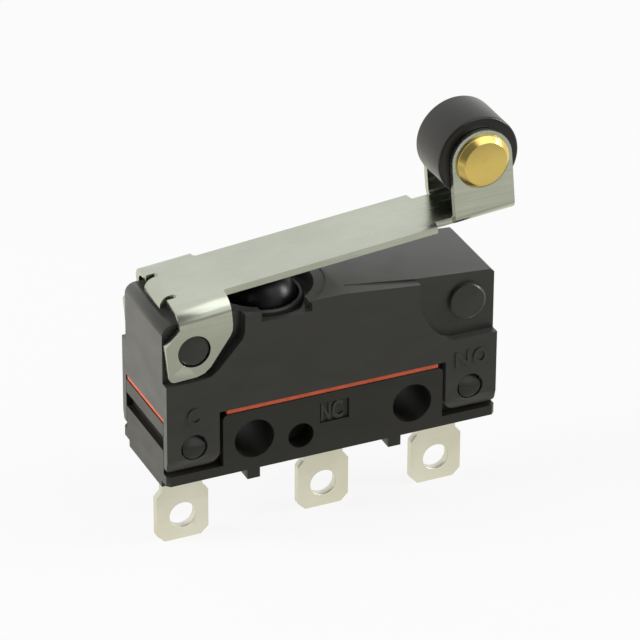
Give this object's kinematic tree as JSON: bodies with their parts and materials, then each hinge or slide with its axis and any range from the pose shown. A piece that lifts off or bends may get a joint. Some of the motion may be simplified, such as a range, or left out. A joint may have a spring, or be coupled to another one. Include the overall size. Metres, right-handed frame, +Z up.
{
  "type": "hinge roller lever micro switch",
  "caption": "Sealed subminiature snap-action switch: black two-part case with a rubber gasket, steel hinge lever with a roller, domed plunger and flat solder terminals.",
  "frame": {"origin": "midway between the two mounting holes, half-way through the case", "axes": "+X along the case towards the roller end, -Y the lettered front face, +Z up towards the lever"},
  "size_m": [0.0216, 0.0064, 0.0232],
  "materials": {
    "case_plastic": "moulded charcoal-black plastic, fine satin grain",
    "base_plastic": "moulded charcoal-black plastic, fine satin grain",
    "gasket_rubber": "orange-red silicone rubber",
    "seal_rubber": "black rubber",
    "plunger_plastic": "polished black plastic",
    "lever_steel": "rolled spring steel strip, satin",
    "rivet_brass": "polished brass",
    "roller_plastic": "turned black plastic, semi-gloss",
    "terminal_plate": "silver-plated copper strip, dull",
    "resin": "black potting resin",
    "contact_silver": "silver alloy, polished",
    "spring_bronze": "phosphor bronze strip",
    "spring_steel": "spring wire"
  },
  "bodies": {
    "housing": {"case": "case_plastic", "base": "base_plastic", "gasket": "gasket_rubber", "plunger_seal": "seal_rubber", "common_terminal": "terminal_plate", "nc_terminal": "terminal_plate", "no_terminal": "terminal_plate", "common_seal": "resin", "nc_seal": "resin", "no_seal": "resin", "nc_contact": "contact_silver", "no_contact": "contact_silver"},
    "lever_arm": {"lever": "lever_steel", "roller_rivet": "rivet_brass"},
    "roller_wheel": {"roller": "roller_plastic"},
    "push_plunger": {"plunger": "plunger_plastic"},
    "actuator": {"actuating_arm": "spring_bronze"},
    "moving_arm": {"contact_arm": "spring_bronze", "moving_contact": "contact_silver"},
    "tension_spring": {"snap_spring": "spring_steel"}
  },
  "joints": [
    {"name": "lever_hinge", "type": "hinge", "parent": "housing", "child": "lever_arm", "pos_m": [-0.0082, 0, 0.00619], "axis": [0, 1, 0], "range_deg": [0, 7.8], "stiffness_Nm_per_rad": 0.04, "springref_deg": -7.73},
    {"name": "roller_spin", "type": "hinge", "parent": "lever_arm", "child": "roller_wheel", "pos_m": [0.00934, 0, 0.01355], "axis": [0, 1, 0], "continuous": true},
    {"name": "plunger_slide", "type": "slide", "parent": "housing", "child": "push_plunger", "axis": [0, 0, -1], "range_m": [0, 0.00072]},
    {"name": "actuator_hinge", "type": "hinge", "parent": "housing", "child": "actuator", "pos_m": [-0.0072, 0, 0.00568], "axis": [0, 1, 0], "range_deg": [0, 9.8]},
    {"name": "contact_hinge", "type": "hinge", "parent": "housing", "child": "moving_arm", "pos_m": [-0.00535, 0, 0.00483], "axis": [0, 1, 0], "range_deg": [0, 2.65]},
    {"name": "spring_swing", "type": "hinge", "parent": "moving_arm", "child": "tension_spring", "pos_m": [0.0034, 0, 0.00483], "axis": [0, 1, 0], "range_deg": [-8.5, 0]}
  ],
  "couplings": [
    {"joint": "plunger_slide", "follows": "lever_hinge", "m_per_rad": 0.005213},
    {"joint": "actuator_hinge", "follows": "lever_hinge", "ratio": 1.247},
    {"joint": "contact_hinge", "follows": "lever_hinge", "ratio": 0.3306},
    {"joint": "spring_swing", "follows": "lever_hinge", "ratio": -1.0776}
  ]
}
